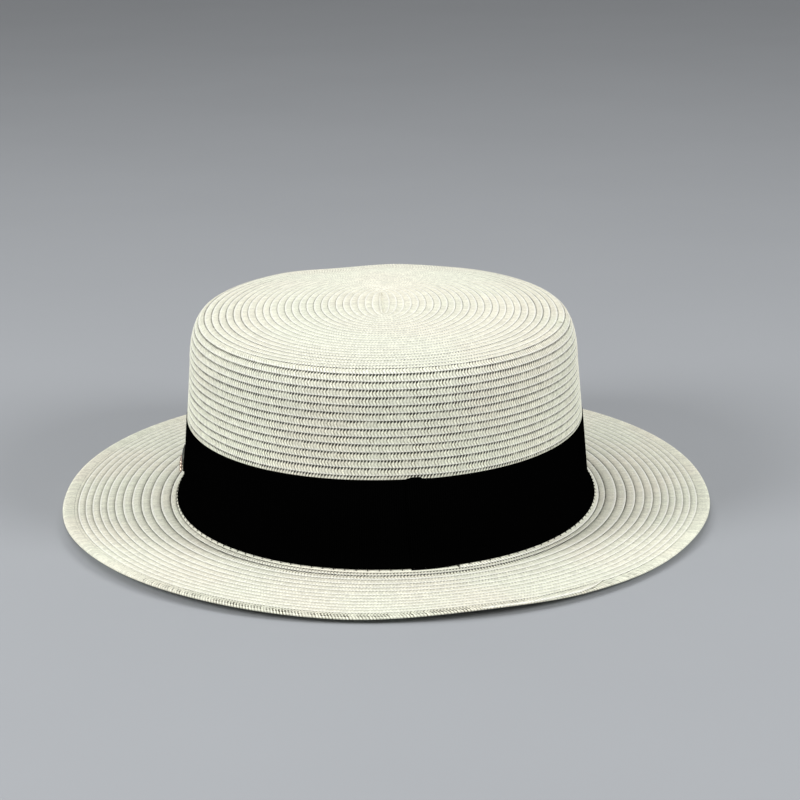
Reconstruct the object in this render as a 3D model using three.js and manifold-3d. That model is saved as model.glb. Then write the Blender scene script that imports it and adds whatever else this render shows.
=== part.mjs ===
// Straw boater hat, lying on its brim.
// Millimetres, +Z up. The origin is on the surface that the brim lies on, under the middle of the crown.
// The hat's front is towards +Y and its left side towards -X. The ribbon is lapped at the back, towards -Y.
// A radius is measured from the middle to the side, on the oval's short axis. Angles run from +X.
import * as THREE from 'three';
import { mergeVertices } from 'three/addons/utils/BufferGeometryUtils.js';
import Module from 'manifold-3d';

// Driving dimensions of the straw
const headRadius = 82.5;           // inside of the crown at its foot
const headStretch = 17.4;          // how much longer the oval is, middle to front
const ovalPower = 2.09;            // 2 is an ellipse, more is squarer
const strawThickness = 1.8;        // sewn braid, two plies where the rows overlap
const crownHeight = 81.6;          // from the surface to the top of the dome
const wallLean = 4.2;              // how far the wall leans in from its foot to the shoulder
const shoulderWidth = 6.4;         // the rounded shoulder, measured inwards
const shoulderHeight = 17.3;       // the rounded shoulder, measured down
const tipDome = 3.6;               // rise of the tip from the shoulder to its middle
const tipCore = 26;                // inside this radius the tip's rows grow rounder
const brimWidth = 50.5;            // from the foot of the crown wall to the edge
const brimStretch = 2.4;           // how much wider the brim is at the front and back
const bendRadius = 5.2;            // outside of the bend from the brim up into the wall
const seamHeight = 9;              // where the brim's upturned foot meets the crown wall
const wallRow = 3;                 // row of braid, measured up the wall
const brimRow = 3.3;               // row of braid, measured across the brim
const rowStep = 0.4;               // how far the lower edge of a row stands proud of the next row
const edgeRowWidth = 5.4;          // the last row, folded over the edge of the brim
const edgeRowThickness = 2;
const gap = 0.3;                   // clearance between neighbouring pieces

// Driving dimensions of the ribbon
const bandWidth = 33.5;            // from edge to edge up the wall
const bandThickness = 1;
const bandFoot = 3;                // height of the lower edge over the surface
const bandFlare = 2;               // how far the lower edge stands out over the bend
const bandFlareHeight = 5.5;       // the flared part of the ribbon
const lapAngle = -86;              // where the upper end of the ribbon stops
const lapLength = 9;               // overlap of the two ends
const lapRamp = 14;                // length over which the upper end comes down to the wall
const lapRise = 0.8;               // how far the upper end is sewn out of line at either edge
const lapSlant = 2.6;              // the end is cut on a slant

// Driving dimensions of the braid's tail, which lies on the inner side of the edge row
const tailAngle = -54.6;            // where its point is
const tailLength = 45;
const tailWidth = 4;
const tailPoint = 0.8;             // width at the point
const tailThickness = 0.8;
const tailInset = 0.2;             // from the inner side of the edge row

// Driving dimensions of the badge
const badgeAngle = 180;            // the hat's left side
const badgeRise = 16.5;            // height of the plate's middle over the surface
const plateHeight = 11.2;          // oval plate, up the ribbon
const plateWidth = 14;             // oval plate, along the ribbon
const plateThickness = 1.2;
const plateRim = 0.5;              // thickness at the rim
const plateFlat = 0.62;            // flat middle, as a share of the plate; the border slopes to the rim
const beadRows = [5, 4, 3];        // beads in each row, from the plate's middle down
const beadDiameter = 2.1;
const beadHeight = 0.9;
const beadPitch = 2;               // from bead to bead along a row
const beadRowPitch = 1.9;          // from row to row
const beadDrop = 0.8;              // from the plate's middle down to the first row
const backThickness = 0.5;         // thin plate that joins the beads

// Fineness of the round shapes
const around = 48;                 // facets round the hat
const shoulderSteps = 5;
const bendSteps = 3;
const foldSteps = 4;
const domeSteps = 3;
const beadSides = 10;
const plateSides = 32;
const tailSections = 7;

// Waves of the brim's edge: height as a share of waveHeight, angles in degrees
const waveHeight = 2;
const edgeWaves = [
  { place: 'far left of the back', angle: -142, halfWidth: 40, share: 1.05 },
  { place: 'left of the back', angle: -113, halfWidth: 30, share: 0.6 },
  { place: 'middle of the back', angle: -79, halfWidth: 20, share: 1 },
  { place: 'right of the back', angle: -60, halfWidth: 24, share: 0.6 },
  { place: 'far right of the back', angle: -28, halfWidth: 26, share: 0.55 },
];

// Dents of the shoulder: depth as a share of dentDepth, angles in degrees
const dentDepth = 1;
const shoulderDents = [
  { place: 'left of the front', angle: 103, halfWidth: 22, share: 1 },
  { place: 'right of the front', angle: 70, halfWidth: 20, share: 0.3 },
];

// Sizes that follow from those above
const footRadius = headRadius + strawThickness;
const edgeRadius = footRadius + brimWidth;
const bendEnd = footRadius + bendRadius;
const bendTop = strawThickness + bendRadius;
const plateauEnd = edgeRadius - edgeRowWidth - gap;
const shoulderStart = crownHeight - tipDome - shoulderHeight;
const tipRadius = footRadius - wallLean - shoulderWidth;
const tipHeight = crownHeight - tipDome;
const bandTop = bandFoot + bandWidth;
const { degToRad, clamp, lerp, smoothstep, euclideanModulo } = THREE.MathUtils;

// Materials
const straw = new THREE.MeshStandardMaterial({ color: '#dcdcc8', roughness: 0.8, metalness: 0 });
const ribbon = new THREE.MeshStandardMaterial({ color: '#0b0b0b', roughness: 0.75, metalness: 0 });
const darkMetal = new THREE.MeshStandardMaterial({ color: '#55564f', roughness: 0.35, metalness: 1 });
const roseGold = new THREE.MeshStandardMaterial({ color: '#c99a86', roughness: 0.25, metalness: 1 });

// A soft bump: 1 at its middle, 0 at its ends, all angles in degrees
function swell(degrees, { angle, halfWidth, share }) {
  const away = Math.abs(euclideanModulo(degrees - angle + 180, 360) - 180);
  const rise = away < halfWidth ? (1 + Math.cos(Math.PI * away / halfWidth)) / 2 : 0;
  return rise * share;
}

function sumOf(bumps, degrees) {
  return bumps.reduce((sum, bump) => sum + swell(degrees, bump), 0);
}

// How much longer than wide the hat is at a radius
function stretchAt(radius) {
  const tip = Math.min(radius / tipCore, 1);
  const brim = clamp((radius - footRadius) / brimWidth, 0, 1);
  return headStretch * tip + brimStretch * brim;
}

// The brim lifts towards its wavy edge
function waveAt(radius, degrees) {
  const reach = clamp((radius - bendEnd) / (edgeRadius - bendEnd), 0, 1);
  return waveHeight * reach ** 2 * sumOf(edgeWaves, degrees);
}

// The tip sinks where the shoulder is dented
function dentAt(radius, height, degrees) {
  const up = clamp((height - shoulderStart) / shoulderHeight, 0, 1);
  const out = clamp(radius / tipRadius, 0, 1);
  return dentDepth * up * out ** 3 * sumOf(shoulderDents, degrees);
}

// Takes a point of the round pattern to its place on the oval hat
function onHat(radius, angle, height) {
  const degrees = angle * THREE.MathUtils.RAD2DEG;
  const cosine = Math.cos(angle);
  const sine = Math.sin(angle);
  const power = 2 / ovalPower;
  const across = radius * Math.sign(cosine) * Math.abs(cosine) ** power;
  const along = (radius + stretchAt(radius)) * Math.sign(sine) * Math.abs(sine) ** power;
  return new THREE.Vector3(across, along, height + waveAt(radius, degrees) - dentAt(radius, height, degrees));
}

// Turns a profile of (radius, height) points round the hat
function turned(profile) {
  const geometry = new THREE.LatheGeometry(profile, around);
  geometry.rotateX(Math.PI / 2);
  const position = geometry.getAttribute('position');
  for (let i = 0; i < position.count; i += 1) {
    const radius = Math.hypot(position.getX(i), position.getY(i));
    const angle = Math.atan2(position.getY(i), position.getX(i));
    const place = onHat(radius, angle, position.getZ(i));
    position.setXYZ(i, place.x, place.y, place.z);
  }
  geometry.computeVertexNormals();
  return geometry;
}

// Rows of braid along a path that runs towards the hat's middle, each row's outer edge proud
function braidRows(path, from, to, row) {
  const length = path.getLength();
  const count = Math.max(1, Math.round((to - from) / row));
  const points = [];
  for (let i = 0; i < count; i += 1) {
    const start = lerp(from, to, i / count) / length;
    const end = lerp(from, to, (i + 1) / count) / length;
    const tangent = path.getTangentAt(end);
    const sunk = path.getPointAt(end);
    sunk.x -= tangent.y * rowStep;
    sunk.y += tangent.x * rowStep;
    points.push(path.getPointAt(start), sunk);
  }
  return points;
}

// Radius of the crown wall's outside
function wallRadiusAt(height) {
  const share = (height - seamHeight) / (shoulderStart - seamHeight);
  return footRadius - wallLean * share;
}

// Points of the domed tip, from its rim to its middle
function tipPoints(inset) {
  const shares = [1, 0.8, 0.58, 0.34, 0.16, 0];
  return shares.map((share) => {
    const height = tipHeight + tipDome * (1 - share ** 2) - inset;
    return new THREE.Vector2(tipRadius * share, height);
  });
}

// Wall and shoulder as one path, from the seam up to the rim of the tip
function wallPath(inset) {
  const path = new THREE.Path();
  path.moveTo(footRadius - inset, seamHeight);
  path.lineTo(tipRadius + shoulderWidth - inset, shoulderStart);
  const width = shoulderWidth - inset;
  const height = shoulderHeight - inset;
  path.absellipse(tipRadius, shoulderStart, width, height, 0, Math.PI / 2, false, 0);
  return path;
}

function crown() {
  const outside = wallPath(0);
  const inside = wallPath(strawThickness);
  const wallLength = outside.curves[0].getLength();
  const hidden = wallLength * (bandTop - seamHeight) / (shoulderStart - seamHeight);
  const innerShoulder = inside.curves.at(-1).getPoints(shoulderSteps).reverse();
  const profile = [
    ...tipPoints(strawThickness).reverse(),
    ...innerShoulder.slice(1),
    new THREE.Vector2(footRadius - strawThickness, seamHeight),
    new THREE.Vector2(footRadius, seamHeight),
    ...braidRows(outside, hidden, outside.getLength(), wallRow),
    ...tipPoints(0),
  ];
  return turned(profile);
}

// Quarter of the bend between brim and wall, from the wall down to the brim
function bendPoints(radius) {
  const arc = new THREE.EllipseCurve(bendEnd, bendTop, radius, radius, Math.PI, Math.PI * 1.5, false);
  return arc.getPoints(bendSteps);
}

function brim() {
  const top = new THREE.Path();
  top.moveTo(plateauEnd, strawThickness);
  top.lineTo(bendEnd, strawThickness);
  const seam = seamHeight - gap;
  const profile = [
    ...bendPoints(bendRadius + strawThickness),
    new THREE.Vector2(plateauEnd, 0),
    ...braidRows(top, 0, top.getLength(), brimRow),
    ...bendPoints(bendRadius).reverse(),
    new THREE.Vector2(footRadius, seam),
    new THREE.Vector2(headRadius, seam),
    new THREE.Vector2(headRadius, bendTop),
  ];
  return turned(profile);
}

// The folded last row: flat below, rounded at the edge
function brimEdge() {
  const inner = plateauEnd + gap;
  const half = edgeRowThickness / 2;
  const fold = new THREE.EllipseCurve(edgeRadius - half, half, half, half, -Math.PI / 2, Math.PI / 2, false);
  const chamfer = half / 2;
  const profile = [
    new THREE.Vector2(inner + chamfer, 0),
    ...fold.getPoints(foldSteps),
    new THREE.Vector2(inner + chamfer, edgeRowThickness),
    new THREE.Vector2(inner, edgeRowThickness - chamfer),
    new THREE.Vector2(inner, chamfer),
    new THREE.Vector2(inner + chamfer, 0),
  ];
  return turned(profile);
}

// A closed strip through sections. A section is a list of [under, over] pairs, from one edge to the other.
function strip(sections) {
  const levels = sections[0].length;
  const last = sections.length - 1;
  const positions = sections.flat(2).flatMap((point) => point.toArray());
  const at = (section, level, side) => (section * levels + level) * 2 + side;
  const indices = [];
  const quad = (a, b, c, d) => indices.push(a, b, c, a, c, d);
  for (let s = 0; s < last; s += 1) {
    for (let l = 0; l < levels - 1; l += 1) {
      quad(at(s, l, 1), at(s + 1, l, 1), at(s + 1, l + 1, 1), at(s, l + 1, 1));
      quad(at(s, l + 1, 0), at(s + 1, l + 1, 0), at(s + 1, l, 0), at(s, l, 0));
    }
    quad(at(s, levels - 1, 1), at(s + 1, levels - 1, 1), at(s + 1, levels - 1, 0), at(s, levels - 1, 0));
    quad(at(s, 0, 0), at(s + 1, 0, 0), at(s + 1, 0, 1), at(s, 0, 1));
  }
  for (let l = 0; l < levels - 1; l += 1) {
    quad(at(0, l, 1), at(0, l + 1, 1), at(0, l + 1, 0), at(0, l, 0));
    quad(at(last, l, 0), at(last, l + 1, 0), at(last, l + 1, 1), at(last, l, 1));
  }
  const geometry = new THREE.BufferGeometry();
  geometry.setAttribute('position', new THREE.Float32BufferAttribute(positions, 3));
  geometry.setIndex(indices);
  geometry.computeVertexNormals();
  return geometry;
}

// Angles of the hat's facets that lie between two angles
function facetAngles(from, to) {
  const facet = 2 * Math.PI / around;
  const clear = 0.3 * facet;       // keeps narrow slivers from the ends
  const angles = [];
  for (let i = Math.ceil((from + clear) / facet); i * facet < to - clear; i += 1) {
    angles.push(i * facet);
  }
  return angles;
}

// The ribbon goes once round and laps over its own start
function hatBand() {
  const start = degToRad(lapAngle);
  const lapped = start + lapLength / footRadius;
  const down = lapped + lapRamp / footRadius;
  const end = lapped + 2 * Math.PI;
  const facet = 2 * Math.PI / around;
  const angles = [start, start + facet / 4, lapped, ...facetAngles(lapped, end), end];
  const flareLevels = [0, 0.25, 0.55, 1];
  const heights = [...flareLevels.map((share) => bandFoot + bandFlareHeight * share), bandTop];
  const sections = angles.map((angle) => {
    const lifted = 1 - smoothstep(angle, lapped, down);
    const crooked = 1 - smoothstep(angle, start, lapped);
    return heights.map((height) => {
      const up = (height - bandFoot) / bandWidth;
      const flared = clamp((bandFoot + bandFlareHeight - height) / bandFlareHeight, 0, 1);
      const under = wallRadiusAt(height) + gap + bandFlare * flared ** 2 + lifted * (bandThickness + gap);
      const z = height + lapRise * crooked * (2 * up - 1);
      const turn = angle - crooked * (lapSlant / footRadius) * (up - 0.5);
      return [onHat(under, turn, z), onHat(under + bandThickness, turn, z)];
    });
  });
  return strip(sections);
}

// The tail tapers to a point along the edge row
function braidEnd() {
  const point = degToRad(tailAngle);
  const spread = tailLength / edgeRadius;
  const sections = [];
  for (let i = 0; i < tailSections; i += 1) {
    const share = i / (tailSections - 1);
    const angle = point - spread * (1 - share);
    const width = lerp(tailWidth, tailPoint, share ** 4);
    const inner = plateauEnd + gap + tailInset;
    const seat = edgeRowThickness + gap;
    const top = seat + tailThickness * (1 - share ** 4 / 2);
    const across = [inner + width, inner];
    sections.push(across.map((radius) => [onHat(radius, angle, seat), onHat(radius, angle, top)]));
  }
  return strip(sections);
}

// Solids for joining pieces
const manifold = await Module();
manifold.setup();

function toSolid(geometry) {
  const bare = geometry.clone();
  bare.deleteAttribute('normal');
  bare.deleteAttribute('uv');
  const merged = mergeVertices(bare, 1e-4);
  const vertProperties = new Float32Array(merged.getAttribute('position').array);
  const triVerts = new Uint32Array(merged.getIndex().array);
  return new manifold.Manifold(new manifold.Mesh({ numProp: 3, vertProperties, triVerts }));
}

function toGeometry(solid) {
  const mesh = solid.getMesh();
  const geometry = new THREE.BufferGeometry();
  geometry.setAttribute('position', new THREE.BufferAttribute(mesh.vertProperties, 3));
  geometry.setIndex(new THREE.BufferAttribute(mesh.triVerts, 1));
  geometry.computeVertexNormals();
  return geometry;
}

// Oval plate whose border slopes to a thin rim, its back in the plane z = 0
function badgePlate() {
  const profile = [
    new THREE.Vector2(0, 0),
    new THREE.Vector2(1, 0),
    new THREE.Vector2(1, plateRim),
    new THREE.Vector2(plateFlat, plateThickness),
    new THREE.Vector2(0, plateThickness),
  ];
  const geometry = new THREE.LatheGeometry(profile, plateSides);
  geometry.rotateX(Math.PI / 2);
  geometry.scale(plateWidth / 2, plateHeight / 2, 1);
  return toGeometry(toSolid(geometry));
}

// Rows of domed beads on a thin back, just off the face of the plate
function badgeBeads() {
  const dome = new THREE.EllipseCurve(0, 0, beadDiameter / 2, beadHeight, 0, Math.PI / 2, false);
  const profile = [new THREE.Vector2(0, 0), ...dome.getPoints(domeSteps)];
  profile.at(-1).x = 0;
  const lowest = beadRowPitch * (beadRows.length - 1);
  const upperHalf = beadPitch * (beadRows[0] - 1) / 2;
  const lowerHalf = beadPitch * (beadRows.at(-1) - 1) / 2;
  const outline = new THREE.Shape([
    new THREE.Vector2(-upperHalf, 0),
    new THREE.Vector2(-lowerHalf, -lowest),
    new THREE.Vector2(lowerHalf, -lowest),
    new THREE.Vector2(upperHalf, 0),
  ]);
  let solid = toSolid(new THREE.ExtrudeGeometry(outline, { depth: backThickness, bevelEnabled: false }));
  beadRows.forEach((count, row) => {
    for (let i = 0; i < count; i += 1) {
      const bead = new THREE.LatheGeometry(profile, beadSides);
      bead.rotateX(Math.PI / 2);
      bead.translate(beadPitch * (i - (count - 1) / 2), -beadRowPitch * row, 0);
      solid = solid.add(toSolid(bead));
    }
  });
  const geometry = toGeometry(solid);
  geometry.translate(0, -beadDrop, plateThickness + gap);
  return geometry;
}

// Group whose z = 0 plane lies just off the ribbon, square to its lean
function badgeSeat() {
  const angle = degToRad(badgeAngle);
  const lean = Math.atan2(wallLean, shoulderStart - seamHeight);
  const out = new THREE.Vector3(Math.cos(angle), Math.sin(angle), 0);
  const sky = new THREE.Vector3(0, 0, 1);
  const normal = out.clone().multiplyScalar(Math.cos(lean)).addScaledVector(sky, Math.sin(lean));
  const up = sky.clone().multiplyScalar(Math.cos(lean)).addScaledVector(out, -Math.sin(lean));
  const side = up.clone().cross(normal);
  const seat = new THREE.Group();
  seat.setRotationFromMatrix(new THREE.Matrix4().makeBasis(side, up, normal));
  seat.position.copy(onHat(wallRadiusAt(badgeRise) + gap + bandThickness, angle, badgeRise));
  seat.position.addScaledVector(normal, gap);
  return seat;
}

function piece(name, geometry, material) {
  const mesh = new THREE.Mesh(geometry, material);
  mesh.name = name;
  return mesh;
}

const hat = new THREE.Group();
hat.name = 'straw_boater_hat';
hat.add(piece('crown', crown(), straw));
hat.add(piece('brim', brim(), straw));
hat.add(piece('brim_edge', brimEdge(), straw));
hat.add(piece('braid_end', braidEnd(), straw));
hat.add(piece('hat_band', hatBand(), ribbon));

const badge = badgeSeat();
badge.add(piece('badge_plate', badgePlate(), darkMetal));
badge.add(piece('badge_beads', badgeBeads(), roseGold));
hat.add(badge);

export default hat;
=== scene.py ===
import math

import bmesh
import bpy
import numpy as np
from mathutils import Matrix, Vector


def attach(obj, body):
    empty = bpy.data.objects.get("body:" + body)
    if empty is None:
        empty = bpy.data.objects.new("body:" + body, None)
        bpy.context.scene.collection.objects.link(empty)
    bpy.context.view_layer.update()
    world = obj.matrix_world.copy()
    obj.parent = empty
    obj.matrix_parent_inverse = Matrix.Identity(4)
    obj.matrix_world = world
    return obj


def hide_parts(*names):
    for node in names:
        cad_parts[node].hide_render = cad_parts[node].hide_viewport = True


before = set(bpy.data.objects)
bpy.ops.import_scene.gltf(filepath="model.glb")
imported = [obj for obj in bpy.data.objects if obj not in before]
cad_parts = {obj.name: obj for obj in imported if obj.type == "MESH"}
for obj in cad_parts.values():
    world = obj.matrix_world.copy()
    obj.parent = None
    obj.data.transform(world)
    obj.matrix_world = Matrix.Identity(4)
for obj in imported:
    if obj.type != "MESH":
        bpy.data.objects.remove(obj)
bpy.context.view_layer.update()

MM = 0.001
FULL_TURN = 360.0
HALF_TURN = 180.0
NEAR_SIDE = -90.0                # angle of the hat's back, which faces the camera

# Straw body
HEAD_STRETCH = 17.4              # how much longer than wide the oval is, middle to front
OVAL_POWER = 2.09                # 2 is an ellipse, more is squarer
STRAW = 1.8                      # thickness of the sewn braid
CROWN_HEIGHT = 81.6
FOOT_RADIUS = 84.3               # outside of the crown wall at its foot
WALL_LEAN = 4.2                  # how far the wall leans in, from its foot to the shoulder
SHOULDER_WIDTH = 6.4
SHOULDER_HEIGHT = 17.3
TIP_DOME = 3.6                   # rise of the tip from the shoulder to its middle
SEAM_HEIGHT = 9.0                # foot of the crown wall
SEAM_GAP = 0.3                   # between the crown's body and the brim's
BRIM_WIDTH = 50.5
BRIM_STRETCH = 2.4               # how much wider the brim is at the front and back
BEND_RADIUS = 6.0                # outside of the bend from the brim up into the wall

# Sewn braid
WALL_ROW = 3.0                   # row of braid on the crown
BRIM_ROW = 3.35                  # row of braid on the brim
STRAND = 1.27                    # from one strand to the next along a row
CHEVRON = 0.75                   # how far the strands run on, from the middle of a row to its sides
WANDER = 0.12                    # how far a sewn line strays
CORE_DEPTH = 0.22                # the closed body under the rows lies this far below them
INSIDE_DEPTH = 0.1               # the rows inside start this far within the straw's thickness
INSIDE_SPACING = 2.6             # from one section of an inside row to the next
CLOSED_BRAID = 0.15              # openness of the rows inside and below
CORE_START = 0.1                 # lengths from the tip's middle: where the closed body begins
TIP_START = 0.3                  # where the crown's rows begin
TIP_MARGIN = 2.0                 # how far inside the shoulder the tip's rows go over into the wall's
ROW_LINE = 116.2                 # a line between two rows, at the back
ROW_END = 119.2                  # where the crown's rows end, under the ribbon
BRIM_JOIN = -75.0                # angle where the last row goes over into the tail
TAIL_SIDE = 130.9                # radius of its outer side there
UNDER_RADIUS = 129.3             # where the brim's body and the rows below end, under the edge row

# Radii of the lines between the brim's rows at the back, from the first one outside the ribbon
BRIM_LINES = [88.8, 90.8, 95.6, 99.8, 103.5, 107.2, 111.0, 114.2, 117.4, 120.3, 123.3, 126.2, 129.2]

# Row's cross-section, from its inner side to its outer side. Lift and groove are in millimetres:
# lift is the height of a strand over the body, groove the depth between two strands.
ROW_FOOT = -0.25                 # lift at which a row meets the closed body under it
OUTER_ROW = [
    dict(across=0.00, lift=ROW_FOOT, groove=0.00),
    dict(across=0.03, lift=-0.07, groove=0.17),
    dict(across=0.50, lift=0.00, groove=0.10),
    dict(across=0.93, lift=0.07, groove=0.20),
    dict(across=1.00, lift=0.01, groove=0.12),
    dict(across=1.00, lift=ROW_FOOT, groove=0.00),
]
INNER_ROW = [
    dict(across=0.00, lift=ROW_FOOT, groove=0.00),
    dict(across=0.00, lift=0.06, groove=0.00),
    dict(across=0.08, lift=0.10, groove=0.00),
    dict(across=0.50, lift=0.00, groove=0.00),
    dict(across=0.92, lift=-0.12, groove=0.00),
    dict(across=1.00, lift=ROW_FOOT, groove=0.00),
]

# Folded row at the edge of the brim, from its inner side over the top and round to the underside
EDGE_STRAND = 1.22
EDGE_MIDDLE = 131.9              # middle of the part that lies on top
EDGE_SLANT = 0.45                # how far the strands run on for each millimetre away from that middle
EDGE_ROW = [
    dict(radius=129.0, height=0.30, groove=0.00, across=0.90),
    dict(radius=129.0, height=1.45, groove=0.00, across=0.90),
    dict(radius=129.5, height=1.80, groove=0.16, across=0.05),
    dict(radius=130.0, height=1.88, groove=0.14, across=0.10),
    dict(radius=130.5, height=1.95, groove=0.14, across=0.60),
    dict(radius=131.4, height=2.06, groove=0.12, across=0.50),
    dict(radius=132.2, height=2.10, groove=0.14, across=0.15),
    dict(radius=132.9, height=2.12, groove=0.18, across=0.42),
    dict(radius=133.7, height=2.08, groove=0.28, across=0.15),
    dict(radius=134.3, height=1.94, groove=0.34, across=0.42),
    dict(radius=134.7, height=1.68, groove=0.32, across=0.50),
    dict(radius=134.8, height=1.34, groove=0.26, across=0.50),
    dict(radius=134.5, height=1.06, groove=0.14, across=0.50),
    dict(radius=133.4, height=0.90, groove=0.00, across=0.50),
    dict(radius=130.6, height=0.78, groove=0.00, across=0.50),
    dict(radius=129.8, height=0.02, groove=0.00, across=0.50),
]

# Waves of the brim's edge and dents of the shoulder. Shares are of the height and depth below.
WAVE_HEIGHT = 2.0
EDGE_WAVES = [
    dict(angle=-142, half_width=40, share=1.05),
    dict(angle=-113, half_width=30, share=0.60),
    dict(angle=-79, half_width=20, share=1.00),
    dict(angle=-60, half_width=24, share=0.60),
    dict(angle=-28, half_width=26, share=0.55),
]
DENT_DEPTH = 1.0
SHOULDER_DENTS = [
    dict(angle=103, half_width=22, share=1.0),
    dict(angle=70, half_width=20, share=0.3),
]

# Ribbon
BAND_WIDTH = 33.7
BAND_THICKNESS = 0.3
BAND_FOOT = 2.8                  # height of the lower edge
BAND_GAP = 0.05                  # between wall and ribbon
BAND_FLARE = 2.35                # how far the lower edge stands out over the bend
BAND_FLARE_HEIGHT = 5.5
BAND_RIB = 0.9                   # ribs of the weave
LAP_ANGLE = -86.5                # where the upper end stops
LAP_LENGTH = 9.0
LAP_RAMP = 14.0                  # length over which the upper end comes down to the wall
LAP_RISE = 0.8                   # how far a crease near the end stands over the upper edge
LAP_CREASE = 6.0                 # length of the crease
LAP_DROP = 0.6                   # how far the end hangs below the lower edge
LAP_SLANT = 1.2
STITCH_PITCH = 4.4
STITCH_LENGTH = 0.9
STITCH_WIDTH = 0.35

# Tail of the braid on the edge row
TAIL_START = -78.0               # where it leaves the edge row
TAIL_ANGLE = -54.6               # where its point is
TAIL_LIFT = 0.55                 # height of its end over the edge row
TAIL_RAMP = 42.0                 # length from the point to where it has come down to the edge row
TAIL_CUT = 17.0                  # length of the slanting cut
TAIL_INSIDE = 129.2
TAIL_OUTSIDE = 134.5
TAIL_POINT = 0.3                 # width at the point
TAIL_SINK = 0.06                 # how far it is pressed into the edge row
TAIL_OPENNESS = 0.8

# Badge on the hat's left side
BADGE_ANGLE = 180.0
BADGE_RISE = 16.5
PLATE_HEIGHT = 11.2
PLATE_WIDTH = 14.0
PLATE_THICKNESS = 1.2
PLATE_RIM = 0.5
PLATE_FLAT = 0.62                # flat middle as a share of the plate
BEAD_ROWS = [5, 4, 3]            # beads in each row, from the plate's middle down
BEAD_DIAMETER = 2.1
BEAD_HEIGHT = 0.9
BEAD_PITCH = 2.0
BEAD_ROW_PITCH = 1.9
BEAD_DROP = 0.8                  # from the plate's middle down to the first row
BACK_THICKNESS = 0.5

# Fineness
AROUND = 192                     # steps of the closed bodies round the hat
PROFILE_STEPS = 90               # points of the crown's profile on each side
BRIM_STEPS = 60
LINE_POINTS = 1441               # points of a line once round the hat
TURN_STEP = 0.5                  # degrees from point to point of a spiral

# Sizes that follow from those above
EDGE_RADIUS = FOOT_RADIUS + BRIM_WIDTH
CORE_INSIDE = CORE_DEPTH - STRAW    # lift of the closed bodies' inner side
INSIDE_BASE = INSIDE_DEPTH - STRAW  # and of the rows inside and below
BEND_END = FOOT_RADIUS + BEND_RADIUS
BEND_TOP = STRAW + BEND_RADIUS
TIP_RADIUS = FOOT_RADIUS - WALL_LEAN - SHOULDER_WIDTH
TIP_HEIGHT = CROWN_HEIGHT - TIP_DOME
SHOULDER_START = TIP_HEIGHT - SHOULDER_HEIGHT


def column(table, name):
    return np.array([row[name] for row in table])


def smooth(value, low, high):
    """0 below low, 1 above high and a soft step in between."""
    t = np.clip((value - low) / (high - low), 0, 1)
    return t * t * (3 - 2 * t)


# Shape of the hat


def swells(bumps, degrees):
    """Sum of soft bumps, each 1 times its share at its middle and 0 at its ends."""
    total = np.zeros_like(degrees)
    for bump in bumps:
        away = np.abs((degrees - bump["angle"] + HALF_TURN) % FULL_TURN - HALF_TURN)
        rise = (1 + np.cos(np.pi * np.minimum(away / bump["half_width"], 1))) / 2
        total = total + rise * bump["share"]
    return total


def on_hat(radius, degrees, height):
    """Takes points of the round pattern to their places on the oval hat, in millimetres."""
    angle = np.radians(degrees)
    cosine, sine = np.cos(angle), np.sin(angle)
    power = 2 / OVAL_POWER
    out = np.clip((radius - FOOT_RADIUS) / BRIM_WIDTH, 0, 1)
    long_radius = radius + HEAD_STRETCH + BRIM_STRETCH * out
    x = radius * np.sign(cosine) * np.abs(cosine) ** power
    y = long_radius * np.sign(sine) * np.abs(sine) ** power
    reach = np.clip((radius - BEND_END) / (EDGE_RADIUS - BEND_END), 0, 1)
    up = np.clip((height - SHOULDER_START) / SHOULDER_HEIGHT, 0, 1)
    inward = np.clip(radius / TIP_RADIUS, 0, 1)
    wave = WAVE_HEIGHT * reach**2 * swells(EDGE_WAVES, degrees)
    dent = DENT_DEPTH * up * inward**3 * swells(SHOULDER_DENTS, degrees)
    return np.stack([x, y, height + wave - dent], -1)


def outline():
    """The hat's outside as one line from the tip's middle to the brim's edge: lengths, radii and heights."""
    share = np.linspace(0, 1, 240)
    turn = np.linspace(0, np.pi / 2, 120)
    foot = FOOT_RADIUS + WALL_LEAN * (SEAM_HEIGHT - BEND_TOP) / (SHOULDER_START - SEAM_HEIGHT)
    radii = [
        TIP_RADIUS * share,
        TIP_RADIUS + SHOULDER_WIDTH * np.sin(turn),
        foot + (TIP_RADIUS + SHOULDER_WIDTH - foot) * (1 - share),
        BEND_END - BEND_RADIUS * np.cos(turn),
        BEND_END + (EDGE_RADIUS - BEND_END) * share,
    ]
    heights = [
        TIP_HEIGHT + TIP_DOME * (1 - share**2),
        SHOULDER_START + SHOULDER_HEIGHT * np.cos(turn),
        BEND_TOP + (SHOULDER_START - BEND_TOP) * (1 - share),
        BEND_TOP - BEND_RADIUS * np.sin(turn),
        STRAW + 0 * share,
    ]
    radius = np.concatenate(radii)
    height = np.concatenate(heights)
    steps = np.hypot(np.diff(radius), np.diff(height))
    keep = np.concatenate([[True], steps > 1e-6])
    length = np.concatenate([[0], np.cumsum(steps)])
    return length[keep], radius[keep], height[keep]


LENGTH, RADIUS, HEIGHT = outline()
OUT_RADIUS = -np.gradient(HEIGHT, LENGTH)
OUT_HEIGHT = np.gradient(RADIUS, LENGTH)


def off_outline(length, lift):
    """Radius and height at a length along the outline, lifted off the outside by so many millimetres."""
    radius = np.interp(length, LENGTH, RADIUS) + lift * np.interp(length, LENGTH, OUT_RADIUS)
    height = np.interp(length, LENGTH, HEIGHT) + lift * np.interp(length, LENGTH, OUT_HEIGHT)
    return radius, height


def on_outline(length, degrees, lift):
    """Points of the hat at a length along the outline, lifted the same way."""
    radius, height = off_outline(length, lift)
    return on_hat(radius, degrees, height)


def length_at_radius(radius):
    """Length along the outline at which the brim has this radius."""
    on_brim = RADIUS > FOOT_RADIUS + 0.5
    return float(np.interp(radius, RADIUS[on_brim], LENGTH[on_brim]))


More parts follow.
